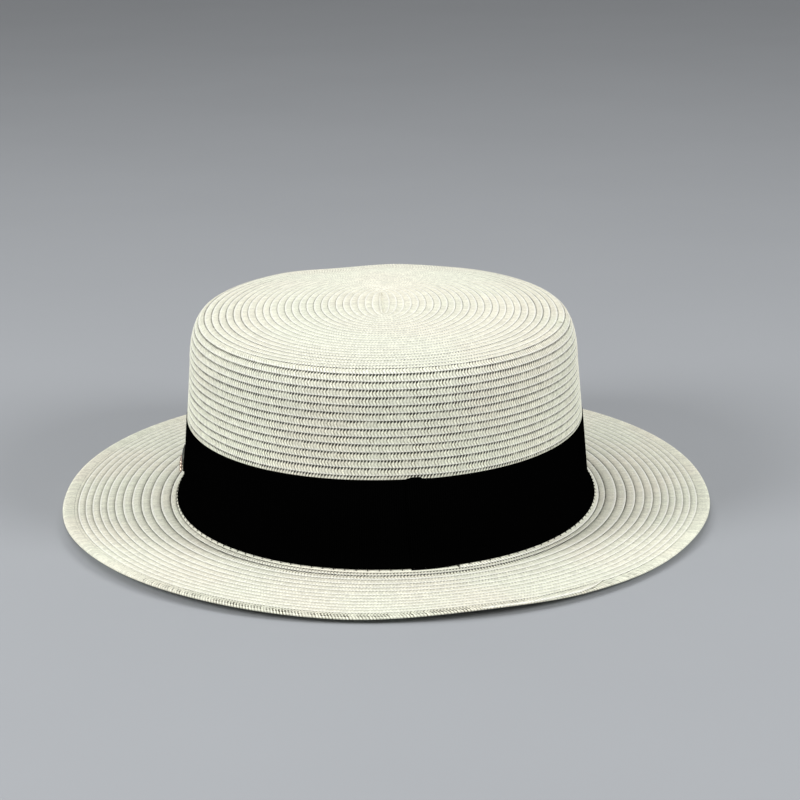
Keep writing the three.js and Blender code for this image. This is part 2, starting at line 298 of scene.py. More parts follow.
def length_at_height(height):
    """Length along the outline at which the crown has this height."""
    return float(np.interp(-height, -HEIGHT, LENGTH))


def lengths_along(line):
    """Length from the first point of a line to each of its points."""
    return np.concatenate([[0], np.cumsum(np.linalg.norm(np.diff(line, axis=0), axis=1))])


def round_hat(radius, height=0.0, first=-HALF_TURN, last=HALF_TURN, points=LINE_POINTS):
    """Angles of a line round the hat, and the length travelled to each of them."""
    running = np.linspace(first, last, points)
    line = on_hat(np.full_like(running, radius), running, height + 0 * running)
    return running, lengths_along(line)


def wall_radius(height):
    """Radius of the outside of the crown's wall."""
    share = (height - SEAM_HEIGHT) / (SHOULDER_START - SEAM_HEIGHT)
    return FOOT_RADIUS - WALL_LEAN * share


# Making pieces


def mesh_object(name, bm, material, node):
    """Finishes a piece: smooth, at the origin, riding on the hat in place of a CAD node."""
    mesh = bpy.data.meshes.new(name)
    bm.to_mesh(mesh)
    bm.free()
    mesh.polygons.foreach_set("use_smooth", np.ones(len(mesh.polygons), bool))
    mesh.materials.append(material)
    piece = bpy.data.objects.new(name, mesh)
    bpy.context.scene.collection.objects.link(piece)
    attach(piece, "root")
    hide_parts(node)
    return piece


def tube(points, along, across, openness, ring=False):
    """A closed tube through sections. Points are [section, level]. A section's levels close on themselves.
    The map "braid" holds strands counted along the tube and shares across it. A ring has no ends."""
    sections, levels = points.shape[:2]
    wrap = 1 if ring else 0
    bm = bmesh.new()
    bmesh.ops.create_grid(bm, x_segments=sections - 1 + wrap, y_segments=levels, size=1)
    mesh = bpy.data.meshes.new("tube")
    bm.to_mesh(mesh)
    flat = np.zeros(len(mesh.vertices) * 3, np.float32)
    mesh.vertices.foreach_get("co", flat)
    flat = flat.reshape(-1, 3)
    section = np.rint((flat[:, 0] + 1) / 2 * (sections - 1 + wrap)).astype(int)
    level = np.rint((flat[:, 1] + 1) / 2 * levels).astype(int)
    first_section, first_level = section % sections, level % levels
    placed = points[first_section, first_level] * MM
    mesh.vertices.foreach_set("co", placed.astype(np.float32).ravel())
    laps = np.where(section == sections, along[-1] + along[1] - 2 * along[0], 0)
    corner = np.zeros(len(mesh.loops), np.int32)
    mesh.loops.foreach_get("vertex_index", corner)
    pattern = np.stack([(along[first_section] + laps)[corner], across[first_level][corner]], -1)
    layer = mesh.uv_layers.new(name="braid")
    layer.data.foreach_set("uv", pattern.astype(np.float32).ravel())
    attribute = mesh.attributes.new("openness", "FLOAT", "POINT")
    attribute.data.foreach_set("value", openness[first_section, first_level].astype(np.float32))
    bm.clear()
    bm.from_mesh(mesh)
    bpy.data.meshes.remove(mesh)
    bm.verts.ensure_lookup_table()
    index = np.zeros((sections + wrap, levels + 1), int)
    index[section, level] = np.arange(len(section))
    pairs = [(index[:, levels], index[:, 0])]
    if ring:
        pairs.append((index[sections, :levels], index[0, :levels]))
    target = {}
    for moved, kept in pairs:
        target.update({bm.verts[int(a)]: bm.verts[int(b)] for a, b in zip(moved, kept)})
    for vertex in list(target):
        while target[vertex] in target:
            target[vertex] = target[target[vertex]]
    bmesh.ops.weld_verts(bm, targetmap=target)
    bmesh.ops.holes_fill(bm, edges=[edge for edge in bm.edges if edge.is_boundary], sides=0)
    bmesh.ops.recalc_face_normals(bm, faces=bm.faces)
    return bm


def wander(running):
    """How far a line between two rows strays at a running angle."""
    turn = np.radians(running)
    return WANDER * (np.sin(2.37 * turn) + np.sin(5.71 * turn + 1.3)) / 2


def braid(side, first, last, table, base, direction, step, carve, spacing, openness):
    """Rows of braid laid as one spiral. Side gives the length along the outline of a row's inner side at a
    running angle. Base and direction are the height of the rows' body and the way they rise. Step gives the
    share of the rows' lifts and carve that of the grooves between strands, at a length along the outline."""
    running = np.append(np.arange(first, last, TURN_STEP), last)
    middle = (side(running) + side(running + FULL_TURN)) / 2
    travelled = lengths_along(on_outline(middle, running, 0 * running))
    count = int(travelled[-1] / spacing)
    distance = np.arange(count + 1) * spacing
    angle = np.interp(distance, travelled, running)
    rate = np.interp(distance, travelled, np.gradient(running, travelled))[:, None]
    across = column(table, "across")[None, :]
    carved = spacing < STRAND
    shift = CHEVRON * 2 * np.abs(across - 0.5) if carved else 0 * across
    turned = angle[:, None] + shift * rate
    inner, outer = side(turned), side(turned + FULL_TURN)
    valley = (np.arange(count + 1) % 2)[:, None]
    length = inner + across * np.maximum(outer - inner, 0.02)
    lifts, grooves = column(table, "lift"), column(table, "groove")
    lift = np.where(lifts > ROW_FOOT, step(length) * lifts, lifts) - carve(length) * grooves * valley
    points = on_outline(length, turned, base + direction * lift)
    return tube(points, distance / STRAND, column(table, "across"), openness(length, turned))


# Materials


def linear(code):
    """Linear colour of an sRGB hex code."""
    values = [int(code[i : i + 2], 16) / 255 for i in (1, 3, 5)]
    return [v / 12.92 if v <= 0.04045 else ((v + 0.055) / 1.055) ** 2.4 for v in values] + [1.0]


def new_material(name):
    material = bpy.data.materials.new(name)
    material.use_nodes = True
    material.node_tree.nodes.clear()
    return material


def add(tree, kind, inputs=None, **settings):
    """Adds a node with its settings, and links or sets its inputs."""
    made = tree.nodes.new(kind)
    for name, value in settings.items():
        setattr(made, name, value)
    for name, value in (inputs or {}).items():
        if isinstance(value, bpy.types.NodeSocket):
            tree.links.new(value, made.inputs[name])
        else:
            made.inputs[name].default_value = value
    return made


def maths(tree, operation, first, second=0.0, third=0.0):
    return add(tree, "ShaderNodeMath", {0: first, 1: second, 2: third}, operation=operation).outputs[0]


def soft_step(tree, value, low, high, start=0.0, end=1.0):
    step = add(
        tree,
        "ShaderNodeMapRange",
        {"Value": value, "From Min": low, "From Max": high, "To Min": start, "To Max": end},
        interpolation_type="SMOOTHSTEP",
    )
    return step.outputs["Result"]


def blend(tree, factor, first, second, mode="MIX"):
    made = add(tree, "ShaderNodeMix", data_type="RGBA", blend_type=mode)
    for socket, value in ((made.inputs[0], factor), (made.inputs[6], first), (made.inputs[7], second)):
        if isinstance(value, bpy.types.NodeSocket):
            tree.links.new(value, socket)
        else:
            socket.default_value = value
    return made.outputs[2]


def surface(tree, inputs):
    shader = add(tree, "ShaderNodeBsdfPrincipled", inputs)
    add(tree, "ShaderNodeOutputMaterial", {"Surface": shader.outputs["BSDF"]})


def straw(name, strand_relief):
    """Sewn paper straw: cream strands in a herringbone, with holes along the rows where the piece's openness
    says, the holes painted dark as the shade inside them. Strand relief is for the rows whose strands aren't
    carved."""
    material = new_material(name)
    tree = material.node_tree
    pattern = add(tree, "ShaderNodeUVMap", uv_map="braid").outputs["UV"]
    parts = add(tree, "ShaderNodeSeparateXYZ", {"Vector": pattern})
    along, across = parts.outputs["X"], parts.outputs["Y"]
    if strand_relief:
        aside = maths(tree, "ABSOLUTE", maths(tree, "SUBTRACT", across, 0.5))
        along = maths(tree, "SUBTRACT", along, maths(tree, "MULTIPLY", aside, 2 * CHEVRON / STRAND))
    groove = maths(tree, "MULTIPLY", maths(tree, "PINGPONG", along, 0.5), 2.0)
    strand = maths(tree, "FLOOR", maths(tree, "ADD", along, 0.5))
    # Openness sets how strongly grooves, row lines and holes are painted dark as shade
    openness = add(tree, "ShaderNodeAttribute", attribute_name="openness").outputs["Fac"]

    # Cream, a little warmer here and greener there, and different from strand to strand
    place = add(tree, "ShaderNodeTexCoord").outputs["Object"]
    patches = add(tree, "ShaderNodeTexNoise", {"Vector": place, "Scale": 22.0, "Detail": 2.0})
    tint = soft_step(tree, patches.outputs["Fac"], 0.35, 0.65)
    cream = blend(tree, tint, linear("#eeebd9"), linear("#ebedda"))
    chance = add(tree, "ShaderNodeTexWhiteNoise", {"W": strand}, noise_dimensions="1D").outputs["Value"]
    shade = soft_step(tree, chance, 0.0, 1.0, 0.87, 1.05)
    shaded = add(tree, "ShaderNodeCombineXYZ", {"X": shade, "Y": shade, "Z": shade}).outputs[0]
    cream = blend(tree, 1.0, cream, shaded, "MULTIPLY")

    # Painted shade: the grooves between the strands are painted darker, a dark line is painted where each row
    # goes under the one above, as the shadow of its lip, and dark holes are painted along that line as the
    # shade inside them. The more open the braid, the darker the line and the longer the holes.
    wide = soft_step(tree, openness, 0.35, 0.95)
    clumps = add(tree, "ShaderNodeTexNoise", {"Vector": place, "Scale": 420.0, "Detail": 1.0}).outputs["Fac"]
    clumps = soft_step(tree, clumps, 0.35, 0.65, 0.7, 1.25)
    chance = maths(tree, "MULTIPLY", clumps, soft_step(tree, chance, 0, 1, 0.7, 1.3))
    # Painted shade in the grooves between strands, darker in the upper half of each row
    upper = soft_step(tree, across, 0.25, 0.9, 1.0, 0.6)
    groove_shade = maths(tree, "MULTIPLY", soft_step(tree, groove, 0.4, 0.9), upper)
    groove_shade = maths(tree, "MULTIPLY", groove_shade, maths(tree, "MULTIPLY_ADD", wide, 0.55, 0.2))
    # Painted highlight: the proud outer side of each row is painted near white, as if lit
    painted_highlight = maths(tree, "MULTIPLY", soft_step(tree, across, 0.72, 0.95), 0.8)
    colour = blend(tree, painted_highlight, cream, linear("#f9f9f0"))
    colour = blend(tree, maths(tree, "MULTIPLY", groove_shade, chance), colour, linear("#514622"))
    # Painted shadow: a dark line at the start of each row, under the lip of the row above
    row_start = soft_step(tree, across, 0.0, 0.04)
    line = maths(tree, "MULTIPLY", row_start, soft_step(tree, across, 0.05, 0.15, 1.0, 0.0))
    line = maths(tree, "MULTIPLY", line, maths(tree, "MULTIPLY_ADD", wide, 0.7, 0.1))
    line = maths(tree, "MULTIPLY", line, chance)
    line = maths(tree, "MULTIPLY", line, soft_step(tree, openness, 0.05, 0.4))
    line = maths(tree, "MULTIPLY", line, soft_step(tree, groove, 0.1, 0.6, 0.3, 1.0))
    line = add(tree, "ShaderNodeClamp", {"Value": line}).outputs[0]
    colour = blend(tree, line, colour, linear("#3c3928"))
    # Painted shade: near-black slots along the row line, as the shade seen through the holes
    slot_low = maths(tree, "MULTIPLY_ADD", wide, 0.08, 0.08)
    slot_high = maths(tree, "MULTIPLY_ADD", wide, 0.22, 0.16)
    slot = maths(tree, "MULTIPLY", row_start, soft_step(tree, across, slot_low, slot_high, 1.0, 0.0))
    slot = maths(tree, "MULTIPLY", slot, soft_step(tree, groove, 0.15, 0.45))
    slot = maths(tree, "MULTIPLY", slot, maths(tree, "MINIMUM", maths(tree, "MULTIPLY", openness, 1.3), 1.25))
    hole_shade = add(tree, "ShaderNodeClamp", {"Value": maths(tree, "MULTIPLY", slot, chance)}).outputs[0]
    colour = blend(tree, hole_shade, colour, linear("#15120a"))

    # Fine grain of the paper
    grain = add(tree, "ShaderNodeTexNoise", {"Vector": place, "Scale": 1700.0, "Detail": 1.0}).outputs["Fac"]
    grain = soft_step(tree, grain, 0.35, 0.65, 0.87, 1.06)
    grainy = add(tree, "ShaderNodeCombineXYZ", {"X": grain, "Y": grain, "Z": grain}).outputs[0]
    colour = blend(tree, 1.0, colour, grainy, "MULTIPLY")

    # Fine fibres along the strands
    fibres = add(tree, "ShaderNodeTexNoise", {"Vector": place, "Scale": 1800.0, "Detail": 2.0}).outputs["Fac"]
    bump = add(tree, "ShaderNodeBump", {"Height": fibres, "Strength": 0.25, "Distance": 0.05 * MM})
    if strand_relief:
        rounded = maths(tree, "SUBTRACT", 1.0, maths(tree, "POWER", groove, 2.0))
        inputs = {"Height": rounded, "Strength": 1.0, "Distance": strand_relief * MM}
        bump = add(tree, "ShaderNodeBump", {**inputs, "Normal": bump.outputs["Normal"]})
    surface(
        tree,
        {
            "Base Color": colour,
            "Roughness": 0.62,
            "Specular IOR Level": 0.35,
            "Normal": bump.outputs["Normal"],
        },
    )
    return material


def black_ribbon():
    """Black ribbed ribbon, matt, with a very faint sheen on its ribs."""
    material = new_material("black_ribbon")
    tree = material.node_tree
    pattern = add(tree, "ShaderNodeUVMap", uv_map="braid").outputs["UV"]
    along = add(tree, "ShaderNodeSeparateXYZ", {"Vector": pattern}).outputs["X"]
    groove = maths(tree, "MULTIPLY", maths(tree, "PINGPONG", along, 0.5), 2.0)
    rounded = maths(tree, "SUBTRACT", 1.0, maths(tree, "POWER", groove, 2.0))
    bump = add(tree, "ShaderNodeBump", {"Height": rounded, "Strength": 0.6, "Distance": 0.08 * MM})
    # Painted sheen and shade: the ribs are painted a touch lighter than the grooves between them
    colour = blend(tree, groove, linear("#030303"), linear("#010101"))
    surface(
        tree,
        {
            "Base Color": colour,
            "Roughness": 0.95,
            "Specular IOR Level": 0.0,
            "Normal": bump.outputs["Normal"],
        },
    )
    return material


def thread():
    """Black sewing thread."""
    material = new_material("black_thread")
    tree = material.node_tree
    place = add(tree, "ShaderNodeTexCoord").outputs["Object"]
    twist = add(tree, "ShaderNodeTexNoise", {"Vector": place, "Scale": 3000.0}).outputs["Fac"]
    colour = blend(tree, twist, linear("#0a0a0a"), linear("#1c1a18"))
    surface(tree, {"Base Color": colour, "Roughness": 0.8, "Specular IOR Level": 0.2})
    return material


def metal(name, code, roughness):
    """Plated metal with faint rubbing marks."""
    material = new_material(name)
    tree = material.node_tree
    place = add(tree, "ShaderNodeTexCoord").outputs["Object"]
    marks = add(tree, "ShaderNodeTexNoise", {"Vector": place, "Scale": 900.0, "Detail": 4.0}).outputs["Fac"]
    rubbed = soft_step(tree, marks, 0.3, 0.7, roughness * 0.85, roughness * 1.2)
    surface(tree, {"Base Color": linear(code), "Metallic": 1.0, "Roughness": rubbed})
    return material


def plain(name, code, mottle):
    """Matt painted surface, very slightly uneven."""
    material = new_material(name)
    tree = material.node_tree
    place = add(tree, "ShaderNodeTexCoord").outputs["Object"]
    patches = add(tree, "ShaderNodeTexNoise", {"Vector": place, "Scale": 6.0, "Detail": 6.0}).outputs["Fac"]
    darker = [v * (1 - mottle) for v in linear(code)[:3]] + [1.0]
    colour = blend(tree, patches, linear(code), darker)
    surface(tree, {"Base Color": colour, "Roughness": 0.8, "Specular IOR Level": 0.2})
    return material


carved_straw = straw("sewn_paper_straw", 0)
lined_straw = straw("sewn_paper_straw_inside", 0.12)
ribbon_black = black_ribbon()
thread_black = thread()
dark_metal = metal("dark_satin_metal", "#55564f", 0.35)
rose_gold = metal("rose_gold_plating", "#cdb8a8", 0.27)


# Crown


def crown_side(running):
    """Inner side of the crown's rows: one row further out at each turn."""
    return np.maximum(ROW_LINE + WALL_ROW * (running - NEAR_SIDE) / FULL_TURN + wander(running), TIP_START)


def crown_angle(length):
    """Running angle at which a row's inner side is at this length."""
    return NEAR_SIDE + (length - ROW_LINE) / WALL_ROW * FULL_TURN


def uneven(length, degrees):
    """Share of about 1 that differs from row to row and slowly along each row."""
    turn = np.radians(degrees)
    return 1 + 0.15 * np.sin(1.9 * length) * np.cos(2 * turn + 0.8 * length) + 0.1 * np.sin(5 * turn + length)


def from_back(degrees):
    """How many degrees an angle is away from the hat's back."""
    return np.abs((degrees - NEAR_SIDE + HALF_TURN) % FULL_TURN - HALF_TURN)


def crown_openness(length, degrees):
    """No holes at the tip's middle, small ones round it and larger ones on the wall, most at the back."""
    tip = 0.42 * smooth(length, 6.0, 26.0) + 0.16 * smooth(length, 50.0, 66.0)
    wall = 0.45 - 0.3 * smooth(from_back(degrees), 20.0, 75.0)
    return (tip + wall * smooth(length, 72.0, 79.0)) * uneven(length, degrees)


def crown_step(length):
    """The rows lie flatter on the tip than on the wall."""
    return 0.1 + 0.15 * smooth(length, 50.0, 68.0) + 0.3 * smooth(length, 68.0, 80.0)


def crown_carve(length):
    """The grooves between strands are shallow on the tip."""
    return 0.5 + 0.6 * smooth(length, 62.0, 80.0)


def full(length):
    """Rows with all of their lift and groove."""
    return 1 + 0 * length


def spun_shell(profile, steps):
    """Turns a profile of (radius, height) points once round, then lays it onto the oval hat."""
    bm = bmesh.new()
    verts = [bm.verts.new((radius, 0, height)) for radius, height in profile]
    ends = verts[1:] + verts[:1]
    edges = [bm.edges.new(pair) for pair in zip(verts, ends)]
    if profile[0][0] < 1:
        bmesh.ops.delete(bm, geom=edges[-1:], context="EDGES_FACES")
        edges = edges[:-1]
    bmesh.ops.spin(
        bm,
        geom=verts + edges,
        axis=(0, 0, 1),
        cent=(0, 0, 0),
        angle=2 * math.pi,
        steps=steps,
        use_merge=True,
    )
    bmesh.ops.holes_fill(bm, edges=[edge for edge in bm.edges if edge.is_boundary], sides=0)
    bmesh.ops.recalc_face_normals(bm, faces=bm.faces)
    place = np.array([v.co for v in bm.verts])
    degrees = np.degrees(np.arctan2(place[:, 1], place[:, 0]))
    moved = on_hat(np.hypot(place[:, 0], place[:, 1]), degrees, place[:, 2]) * MM
    for vertex, point in zip(bm.verts, moved):
        vertex.co = point
    return bm


def profile_points(start, end, count, lift):
    """Points of the hat's outline between two lengths, lifted off the outside."""
    return list(zip(*off_outline(np.linspace(start, end, count), lift)))


SEAM = length_at_height(SEAM_HEIGHT)
TIP_END = length_at_height(TIP_HEIGHT) - TIP_MARGIN

crown_outside = profile_points(CORE_START, SEAM, PROFILE_STEPS, -CORE_DEPTH)
crown_inside = profile_points(SEAM, CORE_START, PROFILE_STEPS, CORE_INSIDE)
crown_body = spun_shell(crown_outside + crown_inside, AROUND)
mesh_object("crown_body", crown_body, carved_straw, "crown")

tip_rows = braid(
    crown_side,
    crown_angle(TIP_START) - FULL_TURN,
    crown_angle(TIP_END),
    OUTER_ROW,
    base=0,
    direction=1,
    step=crown_step,
    carve=crown_carve,
    spacing=STRAND / 2,
    openness=crown_openness,
)
mesh_object("tip_braid", tip_rows, carved_straw, "crown")

wall_rows = braid(
    crown_side,
    crown_angle(TIP_END),
    crown_angle(ROW_END),
    OUTER_ROW,
    base=0,
    direction=1,
    step=crown_step,
    carve=crown_carve,
    spacing=STRAND / 2,
    openness=crown_openness,
)
mesh_object("wall_braid", wall_rows, carved_straw, "crown")


def closed(length, degrees):
    """Rows with hardly any holes."""
    return CLOSED_BRAID + 0 * length * degrees


inside_rows = braid(
    crown_side,
    crown_angle(TIP_START) - FULL_TURN,
    crown_angle(SEAM),
    INNER_ROW,
    base=INSIDE_BASE,
    direction=-1,
    step=full,
    carve=full,
    spacing=INSIDE_SPACING,
    openness=closed,
)
mesh_object("crown_inside_braid", inside_rows, lined_straw, "crown")


# Brim


BRIM_TURNS = len(BRIM_LINES)
OUTER_END = length_at_radius(UNDER_RADIUS)


def brim_side(running):
    """Inner side of the brim's rows. They start under the ribbon and end half under the edge row."""
    lengths = [length_at_radius(radius) for radius in BRIM_LINES]
    ends = [lengths[0] - BRIM_ROW] + lengths + [length_at_radius(TAIL_SIDE)]
    places = BRIM_JOIN + FULL_TURN * (np.arange(len(ends)) - BRIM_TURNS)
    return np.interp(running, places, ends) + wander(running)


def brim_openness(length, degrees):
    """Large holes next to the ribbon at the hat's back, small ones further out, few in the last rows."""
    radius = np.interp(length, LENGTH, RADIUS)
    small = 0.3 + 0.16 * (1 - smooth(radius, 95.0, 118.0)) - 0.18 * smooth(radius, 116.0, 122.0)
    large = 0.65 - 0.55 * smooth(from_back(degrees), 25.0, 60.0)
    return small * uneven(length, degrees) + large * (1 - smooth(radius, 92.0, 95.0))


def brim_step(length):
    """The rows of the brim are pressed flat, the last ones most."""
    radius = np.interp(length, LENGTH, RADIUS)
    return 0.3 + 0.15 * (1 - smooth(radius, 90.0, 96.0)) - 0.15 * smooth(radius, 116.0, 122.0)


def under_side(running):
    """Inner side of the rows below, which go on from those inside the crown."""
    start = crown_angle(SEAM)
    rows = SEAM + BRIM_ROW * (running - start) / FULL_TURN
    return np.where(running < start, crown_side(running), np.minimum(rows, OUTER_END))


brim_outside = profile_points(SEAM + SEAM_GAP, OUTER_END, BRIM_STEPS, -CORE_DEPTH)
brim_inside = profile_points(OUTER_END, SEAM + SEAM_GAP, BRIM_STEPS, CORE_INSIDE)
brim_body = spun_shell(brim_outside + brim_inside, AROUND)
mesh_object("brim_body", brim_body, carved_straw, "brim")

brim_rows = braid(
    brim_side,
    BRIM_JOIN - FULL_TURN * BRIM_TURNS,
    BRIM_JOIN,
    OUTER_ROW,
    base=0,
    direction=1,
    step=brim_step,
    carve=brim_step,
    spacing=STRAND / 2,
    openness=brim_openness,
)
mesh_object("brim_braid", brim_rows, carved_straw, "brim")

under_rows = braid(
    under_side,
    crown_angle(SEAM),
    crown_angle(SEAM) + FULL_TURN * (OUTER_END - SEAM) / BRIM_ROW,
    INNER_ROW,
    base=INSIDE_BASE,
    direction=-1,
    step=full,
    carve=full,
    spacing=INSIDE_SPACING,
    openness=closed,
)
mesh_object("brim_under_braid", under_rows, lined_straw, "brim")


def edge_row():
    """The last row, folded over the edge of the brim. Its holes differ from strand to strand."""
    radius, height = column(EDGE_ROW, "radius"), column(EDGE_ROW, "height")
    across, groove = column(EDGE_ROW, "across"), column(EDGE_ROW, "groove")
    running, travelled = round_hat(EDGE_RADIUS)
    strands = round(travelled[-1] / EDGE_STRAND)
    distance = np.linspace(0, travelled[-1], 2 * strands, endpoint=False)
    angle = np.interp(distance, travelled, running)
    rate = np.interp(distance, travelled, np.gradient(running, travelled))[:, None]
    section = np.concatenate([[0], np.cumsum(np.hypot(np.diff(radius), np.diff(height)))])
    outermost = radius.argmax()
    middle = np.interp(EDGE_MIDDLE, radius[:outermost], section[:outermost])
    away = np.minimum(np.abs(section - middle), section[outermost] - middle)
    turned = angle[:, None] + EDGE_SLANT * away * rate
    valley = (np.arange(len(distance)) % 2)[:, None]
    towards = np.stack([EDGE_MIDDLE - radius, STRAW / 2 - height], -1)
    towards = towards / np.linalg.norm(towards, axis=1, keepdims=True)
    sunk = valley * groove
    points = on_hat(radius + sunk * towards[:, 0], turned, height + sunk * towards[:, 1])
    rolled = 0.95 - 0.7 * smooth(from_back(turned), 25.0, 62.0)
    rolled = rolled * np.random.default_rng(7).uniform(0.6, 1.2, strands).repeat(2)[:, None]
    return tube(points, np.arange(len(distance)) / 2, across, rolled + 0 * points[..., 0], ring=True)


mesh_object("brim_edge_braid", edge_row(), carved_straw, "brim_edge")


def tail():
    """The end of the braid. It rises out of the edge row, and its slanting cut leaves a rounded leaf."""
    running, travelled = round_hat(EDGE_RADIUS, first=TAIL_START, last=TAIL_ANGLE, points=400)
    count = int(travelled[-1] / (EDGE_STRAND / 2))
    distance = np.linspace(0, travelled[-1], count + 1)
    angle = np.interp(distance, travelled, running)[:, None]
    rate = np.interp(distance, travelled, np.gradient(running, travelled))[:, None]
    to_end = (travelled[-1] - distance)[:, None]
    across = column(OUTER_ROW, "across")
    leaf = 1 - (1 - np.clip(to_end / TAIL_CUT, 0, 1)) ** 2
    outer = TAIL_INSIDE + TAIL_POINT + (TAIL_OUTSIDE - TAIL_INSIDE - TAIL_POINT) * leaf
    radius = TAIL_INSIDE + across * (outer - TAIL_INSIDE)
    turned = np.minimum(angle + CHEVRON * 2 * np.abs(across - 0.5) * rate, TAIL_ANGLE + 0.4)
    edge_radius, edge_height = column(EDGE_ROW, "radius"), column(EDGE_ROW, "height")
    on_top = slice(1, edge_radius.argmax())
    seat = np.interp(radius, edge_radius[on_top], edge_height[on_top])
    raised = TAIL_LIFT * (1 - smooth(to_end, TAIL_CUT, TAIL_RAMP)) - TAIL_SINK
    groove = column(OUTER_ROW, "groove") * (np.arange(count + 1) % 2)[:, None]
    points = on_hat(radius, turned, seat + raised + column(OUTER_ROW, "lift") - groove)
    return tube(points, np.arange(count + 1) / 2, across, TAIL_OPENNESS + 0 * radius)


mesh_object("braid_tail", tail(), carved_straw, "braid_end")


# Ribbon


def hat_ribbon():
    """The ribbon goes once round and laps over its own start. Returns it with its length."""
    lapped = LAP_ANGLE + math.degrees(LAP_LENGTH / FOOT_RADIUS)
    down = lapped + math.degrees(LAP_RAMP / FOOT_RADIUS)
    angle = np.arange(LAP_ANGLE, lapped + FULL_TURN, 0.6)[:, None]
    low = np.linspace(0, 1, 7) ** 1.2 * BAND_FLARE_HEIGHT
    height = np.append(BAND_FOOT + low, [BAND_FOOT + BAND_WIDTH / 2, BAND_FOOT + BAND_WIDTH])
    up = (height - BAND_FOOT) / BAND_WIDTH
    flared = np.clip((BAND_FOOT + BAND_FLARE_HEIGHT - height) / BAND_FLARE_HEIGHT, 0, 1)
    lifted = 1 - smooth(angle, lapped + 0.5, down)
    crooked = 1 - smooth(angle, LAP_ANGLE, down)
    from_end = np.radians(angle - LAP_ANGLE) * FOOT_RADIUS
    crease = smooth(from_end, -1.0, 2.5) * (1 - smooth(from_end, LAP_CREASE - 0.5, LAP_CREASE + 0.5))
    under = wall_radius(height) + BAND_GAP + BAND_FLARE * flared**2 + lifted * (BAND_THICKNESS + BAND_GAP)
    risen = LAP_RISE * crease * smooth(up, 0.5, 1.0)
    raised = height + risen - LAP_DROP * crooked * (1 - smooth(up, 0.0, 0.5))
    turned = angle - math.degrees(1 / FOOT_RADIUS) * crooked * LAP_SLANT * (up - 0.5)
    inner = on_hat(under, turned, raised)
    outer = on_hat(under + BAND_THICKNESS, turned, raised)
    points = np.concatenate([outer, inner[:, ::-1]], 1)
    travelled = lengths_along(outer[:, len(height) // 2])
    across = np.concatenate([up, up[::-1]])
    bm = tube(points, travelled / BAND_RIB, across, 0 * points[..., 0])
    return bm, travelled[-1]


ribbon_mesh, ribbon_length = hat_ribbon()
ribbon = mesh_object("hat_ribbon", ribbon_mesh, ribbon_black, "hat_band")


def stitches():
    """Short threads that hold the ribbon's lower edge to the brim."""
    bm = bmesh.new()
    radius = wall_radius(BAND_FOOT) + BAND_GAP + BAND_FLARE + BAND_THICKNESS
    running, travelled = round_hat(radius, BAND_FOOT)
    count = round(travelled[-1] / STITCH_PITCH)
    angles = np.interp((np.arange(count) + 0.5) * travelled[-1] / count, travelled, running)
    top = on_hat(np.full_like(angles, radius - 0.1), angles, BAND_FOOT + 0.4 + 0 * angles)
    foot = on_hat(np.full_like(angles, radius + 0.5), angles, BAND_FOOT - 0.8 + 0 * angles)
    for upper, lower in zip(top, foot):
        way = Vector(lower - upper).normalized()
        turn = way.to_track_quat("Z", "Y").to_matrix().to_4x4()
        place = Matrix.Translation(Vector((upper + lower) / 2) * MM) @ turn
        size = Matrix.Diagonal((STITCH_WIDTH / 2, STITCH_WIDTH / 2, STITCH_LENGTH / 2, 1))
        scale = Matrix.Scale(MM, 4)
        bmesh.ops.create_uvsphere(bm, u_segments=8, v_segments=6, radius=1, matrix=place @ scale @ size)
    return bm


mesh_object("ribbon_stitches", stitches(), thread_black, "hat_band")


# Badge


def badge_place():
    """Puts a piece made in the plane z = 0 onto the ribbon, square to its lean."""
    lean = math.atan2(WALL_LEAN, SHOULDER_START - SEAM_HEIGHT)
    angle = math.radians(BADGE_ANGLE)
    out = Vector((math.cos(angle), math.sin(angle), 0))
    sky = Vector((0, 0, 1))
    normal = out * math.cos(lean) + sky * math.sin(lean)
    up = sky * math.cos(lean) - out * math.sin(lean)
    side = up.cross(normal)
    radius = wall_radius(BADGE_RISE) + BAND_GAP + BAND_THICKNESS
    spot = Vector(on_hat(np.array(radius), np.array(BADGE_ANGLE), np.array(BADGE_RISE)))
    turn = Matrix((side, up, normal)).transposed().to_4x4()
    return Matrix.Translation(spot * MM) @ turn @ Matrix.Scale(MM, 4)


def badge_plate():
    """An oval plate whose border slopes to a thin rim."""
    bm = bmesh.new()
    bmesh.ops.create_circle(bm, cap_ends=True, segments=72, radius=1)
    bmesh.ops.scale(bm, vec=(PLATE_WIDTH / 2, PLATE_HEIGHT / 2, 1), verts=bm.verts)
    for rise, shrink in ((PLATE_RIM, 1.0), (PLATE_THICKNESS - PLATE_RIM, PLATE_FLAT)):
        top = max(bm.faces, key=lambda face: face.calc_center_median().z)
        raised = bmesh.ops.extrude_face_region(bm, geom=[top])["geom"]
        bmesh.ops.delete(bm, geom=[top], context="FACES_ONLY")
        lifted = [item for item in raised if isinstance(item, bmesh.types.BMVert)]
        bmesh.ops.translate(bm, vec=(0, 0, rise), verts=lifted)
        bmesh.ops.scale(bm, vec=(shrink, shrink, 1), verts=lifted)
    bmesh.ops.holes_fill(bm, edges=[edge for edge in bm.edges if edge.is_boundary], sides=0)
    bmesh.ops.recalc_face_normals(bm, faces=bm.faces)
    rims = [edge for edge in bm.edges if edge.calc_face_angle(0) > 0.15]
    rims = [edge for edge in rims if min(v.co.z for v in edge.verts) > 0.01]
    rims = [edge for edge in rims if abs(edge.verts[0].co.z - edge.verts[1].co.z) < 0.01]
    bmesh.ops.bevel(bm, geom=rims, offset=0.2, segments=3, profile=0.5, affect="EDGES", material=-1)
    bmesh.ops.transform(bm, matrix=badge_place(), verts=bm.verts)
    return bm


